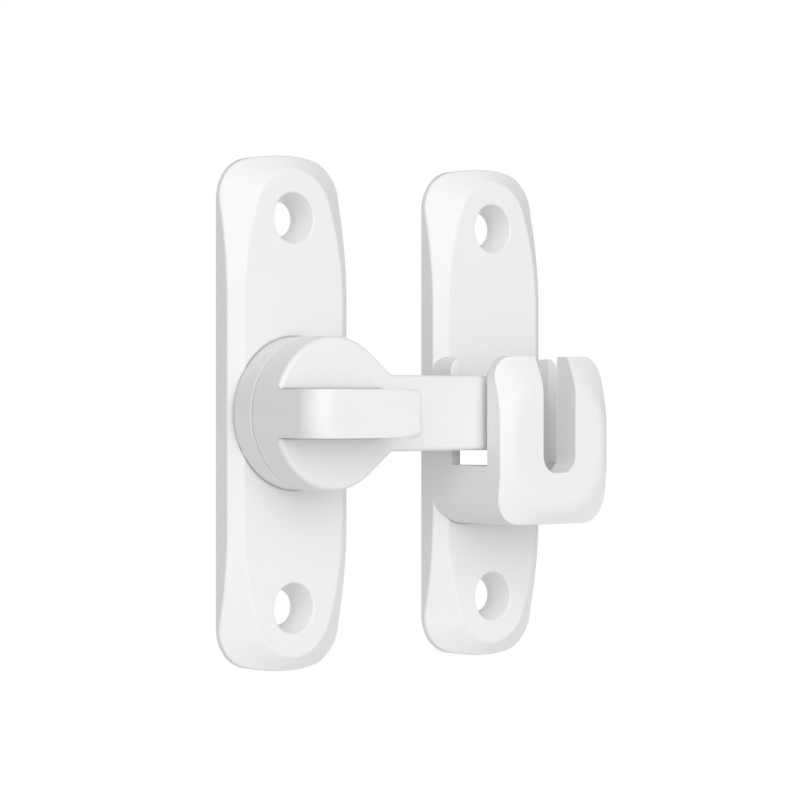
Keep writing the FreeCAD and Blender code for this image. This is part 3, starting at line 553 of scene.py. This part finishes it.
def round_edges(form, test, offset, segments):
    """Rounds the edges that pass a test."""
    picked = [edge for edge in form.edges if turns_a_corner(edge) and test(edge)]
    if not picked:
        raise RuntimeError("a rounding finds no edge")
    bmesh.ops.bevel(form, geom=picked, offset=offset, offset_type="OFFSET", segments=segments,
                    profile=0.5, affect="EDGES", material=-1, clamp_overlap=True)


def box_form(low, high):
    """A box between two corners, each given as place, depth and height."""
    form = bmesh.new()
    bmesh.ops.create_cube(form, size=1.0)
    for vert in form.verts:
        corner = [high[axis] if vert.co[axis] > 0 else low[axis] for axis in range(3)]
        vert.co = (corner[0], -corner[1], corner[2])
    return close_form(form)


def turned_form(profile, height=0.0, steps=96):
    """A solid turned about a line square to the wall, from a profile of radii and depths."""
    form = bmesh.new()
    points = [form.verts.new((radius, -depth, height)) for radius, depth in profile]
    for first, second in zip(points, points[1:]):
        form.edges.new((first, second))
    bmesh.ops.spin(form, geom=form.verts[:] + form.edges[:], cent=(0, 0, height), axis=TO_VIEWER,
                   angle=math.tau, steps=steps, use_merge=True)
    return close_form(form)


def drum_form(radius, back, front):
    """A plain round about the pivot axis, between two depths."""
    return turned_form([(0, back), (radius, back), (radius, front), (0, front)])


def prism_form(half_outline, sizes, back, front, mirror_axis):
    """A prism between two depths, from a function that draws one half of its outline."""
    form = bmesh.new()
    chain = half_outline(form, sizes, back)
    raise_chain(form, chain, front)
    mirror_form(form, mirror_axis)
    return close_form(form)


def merge_flats(form):
    """Merges faces of one plane, but not those that face the viewer or the wall, which have holes."""
    loose = []
    for edge in form.edges:
        if not all(abs(face.normal.y) > FACING for face in edge.link_faces):
            loose.append(edge)
    bmesh.ops.dissolve_limit(form, angle_limit=FLAT_TURN, verts=form.verts, edges=loose)


def combine(form, tool, operation):
    """One exact Boolean step between two meshes, which are used up; gives the new mesh."""
    held = []
    for source in (form, tool):
        mesh = bpy.data.meshes.new("step")
        source.to_mesh(mesh)
        source.free()
        item = bpy.data.objects.new("step", mesh)
        bpy.context.scene.collection.objects.link(item)
        held.append(item)
    step = held[0].modifiers.new("step", "BOOLEAN")
    step.operation = operation
    step.solver = "EXACT"
    step.object = held[1]
    done = held[0].evaluated_get(bpy.context.evaluated_depsgraph_get())
    joined = bmesh.new()
    joined.from_mesh(done.data)
    for item in held:
        bpy.data.meshes.remove(item.data)
    bmesh.ops.remove_doubles(joined, verts=joined.verts, dist=JOIN)
    return joined


def make_casting(form, name, node, body, softness, foot=0.0, foot_height=0.0, crisp_from=math.inf):
    """Turns a mesh into a finished casting that stands for a node, with its outer edges softened.

    Edges at the wall stay sharp, and so do those that lie on the plate, at the foot's depth and
    nearer to the pivot's level than the foot's height. Edges from a depth on towards the viewer
    are softened less.
    """
    merge_flats(form)
    mesh = bpy.data.meshes.new(name)
    weight = form.edges.layers.float.new("bevel_weight_edge")
    for edge in form.edges:
        if not turns_a_corner(edge, CRISP_TURN):
            continue
        nearest = min(-vert.co.y for vert in edge.verts)
        on_the_wall = nearest < JOIN
        on_the_plate = at_depth(edge, foot) and abs(middle_of(edge).z) < foot_height
        if edge.is_convex and not on_the_wall and not on_the_plate:
            edge[weight] = 1.0 if nearest < crisp_from - JOIN else CRISP
        else:
            edge.smooth = False
    form.to_mesh(mesh)
    form.free()
    mesh.shade_smooth()
    casting = bpy.data.objects.new(name, mesh)
    bpy.context.scene.collection.objects.link(casting)
    soft = casting.modifiers.new("soft_edges", "BEVEL")
    soft.limit_method = "WEIGHT"
    soft.width = softness
    soft.segments = 3
    soft.use_clamp_overlap = False
    even = casting.modifiers.new("even_shading", "WEIGHTED_NORMAL")
    even.weight = 100
    even.keep_sharp = True
    dress(casting, "painted_zinc")
    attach(casting, body)
    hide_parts(node)


# Plates

def plate_quarter(form, sizes, depth):
    """A quarter of a plate's outline, from its right side to its top."""
    half, end, corner = sizes.plate_width / 2, sizes.plate_length / 2, sizes.corner_radius
    x = half - corner
    height = math.sqrt((end - corner) ** 2 - x ** 2)
    turn = math.atan2(height, x)
    pen = Outline(form, half, 0, depth)
    pen.line(half, sizes.flat_straight, STRAIGHT_STEPS)
    pen.line(half, height, SIDE_STEPS)
    pen.arc(x, height, turn, CORNER_STEPS)
    return pen.arc(0, 0, QUARTER - turn, END_STEPS).points


def flat_quarter(form, sizes, depth):
    """The same quarter of the raised flat: a long side arc leads to an end about the screw hole."""
    half = sizes.plate_width / 2 - sizes.bevel_width
    rim, straight = sizes.rim_radius, sizes.flat_straight
    hole = sizes.plate_length / 2 - sizes.screw_inset
    rise = hole - straight
    side = (half - rim) / 2 + rise ** 2 / (2 * (half - rim)) + rim
    turn = math.atan2(rise, side - half)
    # The flat's end lies beside the plate's corner until it has come in to half its own radius
    beside_the_corner = math.acos(0.5)
    pen = Outline(form, half, 0, depth)
    pen.line(half, straight, STRAIGHT_STEPS)
    pen.arc(half - side, straight, turn, SIDE_STEPS)
    pen.arc(0, hole, beside_the_corner - turn, CORNER_STEPS)
    return pen.arc(0, hole, QUARTER - beside_the_corner, END_STEPS).points


def sink_rim(rim, flat, sizes):
    """Sinks a rim to where a bevel that falls evenly from the flat meets it, or to a least depth."""
    slope = (sizes.plate_thickness - sizes.side_height) / sizes.bevel_width
    for point, high in zip(rim, flat):
        run = (high.co - point.co).xz.length
        point.co.y = min(high.co.y + slope * run, -sizes.corner_height)


def plate_form(sizes):
    """The slab of both plates: upright sides, a bevel that widens at the corners and a raised flat."""
    form = bmesh.new()
    back = plate_quarter(form, sizes, 0.0)
    rim = raise_chain(form, back, sizes.side_height)
    flat = flat_quarter(form, sizes, sizes.plate_thickness)
    sink_rim(rim, flat, sizes)
    bmesh.ops.bridge_loops(form, edges=chain_edges(rim) + chain_edges(flat))
    mirror_form(form, "X")
    mirror_form(form, "Z")
    close_form(form)

    def of_the_flat(edge):
        return at_depth(edge, sizes.plate_thickness)

    def of_the_rim(edge):
        below_the_bevel = -middle_of(edge).y < sizes.side_height + JOIN
        return below_the_bevel and not at_depth(edge, 0) and turns_a_corner(edge, RIM_TURN)

    round_edges(form, of_the_flat, sizes.flat_softness, segments=6)
    round_edges(form, of_the_rim, sizes.side_softness, segments=4)
    return form


def screw_hole_form(sizes, height):
    """What a screw hole takes away: its plain part at the wall and the sink."""
    hole, sink = sizes.screw_hole / 2, sizes.screw_sink / 2
    slope = (sink - hole) / (sizes.plate_thickness - sizes.screw_land)
    front = sizes.plate_thickness + BEYOND
    return turned_form([(0, -BEYOND), (hole, -BEYOND), (hole, sizes.screw_land),
                        (sink + slope * BEYOND, front), (0, front)], height)


def cut_screw_holes(form, sizes):
    place = sizes.plate_length / 2 - sizes.screw_inset
    for height in (place, -place):
        form = combine(form, screw_hole_form(sizes, height), "DIFFERENCE")
    return form


class LATCH_OT_latch_plate(bpy.types.Operator):
    """Model the plate that carries the arm, with its boss, screw holes and back pocket"""
    bl_idname = "latch.latch_plate"
    bl_label = "Latch plate"

    def execute(self, context):
        sizes = context.scene.latch_plates
        boss, bore, pocket = sizes.boss_diameter / 2, sizes.bore_diameter / 2, sizes.pocket_diameter / 2
        front = sizes.plate_thickness + sizes.boss_rise
        drum = drum_form(boss, sizes.plate_thickness, front)
        round_edges(drum, lambda edge: at_depth(edge, front), sizes.boss_softness, segments=4)
        form = combine(plate_form(sizes), drum, "UNION")
        inside = turned_form([(0, -BEYOND), (pocket, -BEYOND), (pocket, sizes.pocket_depth),
                              (bore, sizes.pocket_depth), (bore, front + BEYOND), (0, front + BEYOND)])
        form = combine(form, inside, "DIFFERENCE")
        make_casting(cut_screw_holes(form, sizes), "latch_casting", "latch_plate", "plates",
                     sizes.edge_softness, foot=sizes.plate_thickness, foot_height=boss + JOIN)
        return {"FINISHED"}


# Turning arm

def arm_half(form, sizes, depth):
    """The upper half of the knob and bar's outline, from the knob's left to the bar's end."""
    radius, half = sizes.knob_diameter / 2, sizes.bar_height / 2
    # The flank touches the knob's round and meets the bar level with the knob's rim
    touch = 2 * math.atan2(half, radius)
    pen = Outline(form, -radius, 0, depth)
    pen.arc(0, 0, touch - math.pi, steps=44)
    return pen.line(radius, half).line(sizes.arm_end, half).line(sizes.arm_end, 0).points


def raise_rib(form, sizes):
    """Pulls the thumb rib out of the knob's front, so that its end is the knob's own rim."""
    front = sizes.knob_back + sizes.knob_thickness
    half, reach = sizes.rib_width / 2, sizes.rib_reach
    cut_plane(form, (0, 0, half), (0, 0, 1))
    cut_plane(form, (0, 0, -half), (0, 0, 1))
    cut_plane(form, (reach, 0, 0), (1, 0, 0))
    top = []
    for face in form.faces:
        middle = face.calc_center_median()
        on_the_front = face.normal.y < -FACING and abs(middle.y + front) < JOIN
        if on_the_front and abs(middle.z) < half and middle.x < reach:
            top.append(face)
    grown = bmesh.ops.extrude_face_region(form, geom=top)
    bmesh.ops.delete(form, geom=top, context="FACES")
    raised = [item for item in grown["geom"] if isinstance(item, bmesh.types.BMVert)]
    bmesh.ops.translate(form, verts=raised, vec=(0, -sizes.rib_rise, 0))
    bmesh.ops.remove_doubles(form, verts=form.verts, dist=JOIN)
    bmesh.ops.dissolve_limit(form, angle_limit=FLAT_TURN, verts=form.verts, edges=form.edges)


def round_arm(form, sizes):
    """Rounds the arm's edges, from the neck to the thumb rib's long edges."""
    back, front = sizes.knob_back, sizes.knob_back + sizes.knob_thickness
    radius, half, end = sizes.knob_diameter / 2, sizes.bar_height / 2, sizes.arm_end
    rib_half, rib_front = sizes.rib_width / 2, front + sizes.rib_rise

    def in_the_neck(edge):
        return abs(middle_of(edge).x - radius) < JOIN and goes_outwards(edge)

    def at_the_end(edge):
        return abs(middle_of(edge).x - end) < JOIN and not at_depth(edge, front)

    def of_the_front(edge):
        place = middle_of(edge)
        off_the_rib = abs(place.z) > rib_half + JOIN or place.x > sizes.rib_reach + JOIN
        return off_the_rib and at_depth(edge, front) and turns_a_corner(edge, FRONT_TURN)

    def bar_back(edge):
        place = middle_of(edge)
        along_the_bar = place.x > radius and abs(place.z) > half - sizes.bar_back_radius
        return along_the_bar and at_depth(edge, back)

    def rib_corner(edge):
        return abs(middle_of(edge).x - sizes.rib_reach) < JOIN and goes_outwards(edge)

    def rib_rim(edge):
        return at_depth(edge, rib_front) and middle_of(edge).x < -rib_half

    def rib_end(edge):
        corner = sizes.rib_reach - sizes.rib_corner_radius
        return at_depth(edge, rib_front) and middle_of(edge).x > corner + JOIN

    def rib_side(edge):
        place = middle_of(edge)
        level = abs(edge.verts[0].co.z - edge.verts[1].co.z) < JOIN
        return level and abs(abs(place.z) - rib_half) < JOIN and -place.y > front + sizes.rib_edge_start

    round_edges(form, in_the_neck, sizes.neck_softness, segments=5)
    round_edges(form, at_the_end, sizes.bar_back_radius, segments=4)
    round_edges(form, of_the_front, sizes.front_edge_radius, segments=7)
    round_edges(form, bar_back, sizes.bar_back_radius, segments=4)
    round_edges(form, rib_corner, sizes.rib_corner_radius, segments=6)
    round_edges(form, rib_rim, sizes.rib_swell_radius, segments=12)
    round_edges(form, rib_end, sizes.rib_end_radius, segments=6)
    round_edges(form, rib_side, sizes.rib_edge_radius, segments=4)


class LATCH_OT_arm(bpy.types.Operator):
    """Model the turning arm: knob, thumb rib, bar, hook and spigot in one casting"""
    bl_idname = "latch.arm"
    bl_label = "Turning arm"

    def execute(self, context):
        sizes = context.scene.latch_arm
        back, front = sizes.knob_back, sizes.knob_back + sizes.knob_thickness
        half, end = sizes.bar_height / 2, sizes.arm_end
        form = prism_form(arm_half, sizes, back, front, "Z")
        hook = box_form((end - sizes.hook_thickness, sizes.hook_back, -half), (end, back + BEYOND, half))
        form = combine(form, hook, "UNION")
        merge_flats(form)
        raise_rib(form, sizes)
        round_arm(form, sizes)

        inside = back + BEYOND
        key_end = sizes.spigot_end - sizes.key_height
        shaft = drum_form(sizes.spigot_diameter / 2, sizes.spigot_end, inside)
        form = combine(form, shaft, "UNION")
        key = drum_form(sizes.key_diameter / 2, key_end, inside)
        for side in (-1, 1):
            cut_plane(key, (side * sizes.key_flats / 2, 0, 0), (side, 0, 0), clear_outer=True)
            close_form(key)
        form = combine(form, key, "UNION")
        tapped = drum_form(sizes.tapped_diameter / 2, key_end - inside, sizes.tapped_end)
        form = combine(form, tapped, "DIFFERENCE")
        make_casting(form, "arm_casting", "turn_arm", "arm", sizes.edge_softness)
        return {"FINISHED"}


# Strike plate

def block_half(form, depth, half, top, bottom, top_radius, bottom_radius):
    """The right half of a block's outline, from the middle of its top to the middle of its bottom."""
    shoulder, hip = top - top_radius, bottom_radius - bottom
    foot = half - bottom_radius
    pen = Outline(form, 0, top, depth)
    pen.line(half - top_radius, top, steps=5)
    pen.arc(half - top_radius, shoulder, -QUARTER, steps=12, end=(half, shoulder))
    pen.line(half, hip, steps=8)
    pen.arc(foot, hip, -QUARTER, steps=12, end=(foot, -bottom))
    return pen.line(0, -bottom, steps=3).points


def catch_block(plates, sizes):
    """The catch without its front bevel: posts at the wall, side walls and a front wall."""
    form = bmesh.new()
    half = plates.plate_width / 2
    between = (sizes.post_front + sizes.wall_back) / 2
    foot = block_half(form, sizes.block_foot, half, sizes.side_top, sizes.catch_bottom,
                      sizes.side_top_radius, sizes.catch_bottom_radius)
    posts = raise_chain(form, foot, between - BEYOND)
    wall = block_half(form, between + BEYOND, half, sizes.catch_top, sizes.catch_bottom,
                      sizes.catch_top_radius, sizes.catch_bottom_radius)
    bmesh.ops.bridge_loops(form, edges=chain_edges(posts) + chain_edges(wall))
    raise_chain(form, wall, sizes.wall_back + sizes.front_wall + BEYOND)
    mirror_form(form, "X")
    return close_form(form)


def face_slope(plates, sizes):
    """What the catch's front keeps inside: a bevel that runs on past its sides, and a soft crease."""
    form = bmesh.new()
    half, front = plates.plate_width / 2, sizes.wall_back + sizes.front_wall
    run = sizes.face_inset
    face_half = half - run
    flat = block_half(form, front, face_half, sizes.catch_top - sizes.face_top_inset,
                      sizes.catch_bottom - sizes.face_bottom_inset, sizes.face_top_radius,
                      face_half - sizes.face_sole / 2)
    around = block_half(form, front - 2 * sizes.face_bevel_depth, half + run, sizes.catch_top + run,
                        sizes.catch_bottom + run, sizes.face_slope_radius + run,
                        sizes.catch_bottom_radius + run)
    beyond = raise_chain(form, around, 0.0)
    for far, middle, near in zip(beyond, around, flat):
        far.co = 2 * middle.co - near.co
    raise_chain(form, beyond, -BEYOND)
    bmesh.ops.bridge_loops(form, edges=chain_edges(around) + chain_edges(flat))
    mirror_form(form, "X")
    close_form(form)
    round_edges(form, lambda edge: at_depth(edge, front), sizes.face_softness, segments=8)
    return form


def front_slot_half(form, sizes, depth):
    """The right half of the front slot's outline, which runs out above the catch."""
    return block_half(form, depth, sizes.front_slot_width / 2, 2 * sizes.catch_top,
                      sizes.front_slot_floor, sizes.front_slot_radius, sizes.front_slot_radius)


class LATCH_OT_strike_plate(bpy.types.Operator):
    """Model the second plate with its slotted catch"""
    bl_idname = "latch.strike_plate"
    bl_label = "Strike plate"

    def execute(self, context):
        plates, sizes = context.scene.latch_plates, context.scene.latch_catch
        half, plate_front, above = plates.plate_width / 2, plates.plate_thickness, 2 * sizes.catch_top
        inside, outside, floor = half - sizes.side_wall, half + BEYOND, -sizes.cavity_floor
        back, front = sizes.wall_back, sizes.wall_back + sizes.front_wall
        catch = combine(catch_block(plates, sizes), face_slope(plates, sizes), "INTERSECT")
        bmesh.ops.dissolve_degenerate(catch, dist=sizes.face_grain, edges=catch.edges)
        bmesh.ops.triangulate(catch, faces=catch.faces)
        form = combine(plate_form(plates), catch, "UNION")
        cuts = [
            box_form((-inside, plate_front, floor), (inside, back, above)),
            box_form((-inside, -BEYOND, floor), (inside, plate_front + BEYOND, sizes.window_top)),
            box_form((-outside, sizes.post_front, -sizes.slot_floor), (outside, back, above)),
            prism_form(front_slot_half, sizes, back - BEYOND, front + BEYOND, "X"),
        ]
        for cut in cuts:
            form = combine(form, cut, "DIFFERENCE")
        form = cut_screw_holes(form, plates)
        bmesh.ops.translate(form, verts=form.verts, vec=(plates.plate_spacing, 0, 0))
        make_casting(form, "strike_casting", "strike_plate", "plates", plates.edge_softness,
                     foot=plate_front, foot_height=sizes.catch_bottom + JOIN, crisp_from=back)
        return {"FINISHED"}


class LATCH_OT_cad_nodes(bpy.types.Operator):
    """Finish the frame's own pieces, except where the frame has brought a finish's name"""
    bl_idname = "latch.cad_nodes"
    bl_label = "Finish the frame's pieces"

    def execute(self, context):
        for part in frame["record"]["subparts"]:
            dress(frame["nodes"][part["node"]], part["material_slot"])
        return {"FINISHED"}


# Studio

def area_lamp(name, place, target, power, width):
    """A soft square lamp that faces a point."""
    data = bpy.data.lights.new(name, "AREA")
    data.energy = power
    data.size = width
    lamp = bpy.data.objects.new(name, data)
    lamp.location = place
    lamp.visible_camera = False
    lamp.rotation_euler = (target - place).to_track_quat("-Z", "Y").to_euler()
    bpy.context.scene.collection.objects.link(lamp)


def from_azimuth(azimuth, elevation, distance):
    """An offset in the row frame: azimuth 0 is straight in front."""
    level, rise = math.cos(elevation), math.sin(elevation)
    return distance * Vector((math.sin(azimuth) * level, -math.cos(azimuth) * level, rise))


def white_to_rays(shader, rays, kind, surface):
    """A plain white, of some kind of light node, where some kinds of ray see it, else the surface."""
    seen = 0.0
    for ray in rays:
        seen = shader.node("LightPath", output=ray).math("MAXIMUM", seen)
    white = shader.node(kind, None, {"Color": WHITE, "Strength": 1.0})
    return shader.node("MixShader", None, {0: seen, 1: surface, 2: white})


class LATCH_OT_stage(bpy.types.Operator):
    """Set up the studio: floor, surroundings, lamp and camera"""
    bl_idname = "latch.stage"
    bl_label = "Set the stage"

    def execute(self, context):
        scene = context.scene
        stage = scene.latch_stage
        aim = Vector(stage.aim)

        mesh = bpy.data.meshes.new("floor")
        form = bmesh.new()
        bmesh.ops.create_grid(form, x_segments=1, y_segments=1, size=stage.floor_size)
        bmesh.ops.translate(form, verts=form.verts, vec=(0, 0, -stage.floor_drop))
        form.to_mesh(mesh)
        form.free()
        floor = bpy.data.objects.new("floor", mesh)
        scene.collection.objects.link(floor)
        shader = new_shader("studio_floor")
        plain = shader.node("BsdfDiffuse", None, {"Color": shade(stage.floor_colour)})
        mesh.materials.append(shader.finish(white_to_rays(shader, FLOOR_RAYS, "Emission", plain)))

        shader = Shader(bpy.data.worlds.new("studio"))
        light = shader.node("Background", None, {"Color": WHITE, "Strength": stage.fill_level})
        around = white_to_rays(shader, SKY_RAYS, "Background", light)
        scene.world = shader.finish(around, "OutputWorld")

        key_place = aim + from_azimuth(stage.key_azimuth, stage.key_elevation, stage.key_distance)
        area_lamp("key", key_place, aim, stage.key_power, stage.key_size)

        camera = bpy.data.objects.new("camera", bpy.data.cameras.new("camera"))
        camera.data.sensor_width = stage.camera_sensor
        camera.data.lens = stage.camera_lens
        camera.data.clip_start = 0.01
        camera.data.clip_end = 20.0
        back = from_azimuth(stage.camera_azimuth, 0.0, stage.camera_distance)
        camera.location = aim + back
        camera.rotation_mode = "QUATERNION"
        camera.rotation_quaternion = (-back).to_track_quat("-Z", "Y")
        scene.collection.objects.link(camera)
        scene.camera = camera
        scene.view_settings.view_transform = "Standard"
        return {"FINISHED"}


# Panel and registration

class LATCH_PT_panel(bpy.types.Panel):
    """Lists the steps that make the latch, and its sizes and colours"""
    bl_label = "Latch"
    bl_idname = "LATCH_PT_panel"
    bl_space_type = "VIEW_3D"
    bl_region_type = "UI"
    bl_category = "Latch"

    def draw(self, context):
        for step in STEPS:
            self.layout.operator(step.bl_idname)
        for place, group in SETTINGS.items():
            self.layout.label(text=group.__doc__.splitlines()[0])
            for name in group.__annotations__:
                self.layout.prop(getattr(context.scene, place), name)


# Groups of settings, under their names in a scene
SETTINGS = {
    "latch_plates": PlateSizes,
    "latch_arm": ArmSizes,
    "latch_catch": CatchSizes,
    "latch_finish": FinishSettings,
    "latch_stage": StageSettings,
}
STEPS = (LATCH_OT_cad_nodes, LATCH_OT_latch_plate, LATCH_OT_arm, LATCH_OT_strike_plate, LATCH_OT_stage)
CLASSES = (*SETTINGS.values(), *STEPS, LATCH_PT_panel)


def register():
    for item in CLASSES:
        bpy.utils.register_class(item)
    for place, group in SETTINGS.items():
        setattr(bpy.types.Scene, place, bpy.props.PointerProperty(type=group))


def unregister():
    for place in SETTINGS:
        delattr(bpy.types.Scene, place)
    for item in reversed(CLASSES):
        bpy.utils.unregister_class(item)


def main():
    register()
    bpy.ops.latch.cad_nodes()
    bpy.ops.latch.latch_plate()
    bpy.ops.latch.arm()
    bpy.ops.latch.strike_plate()
    bpy.ops.latch.stage()


if __name__ == "__main__":
    main()
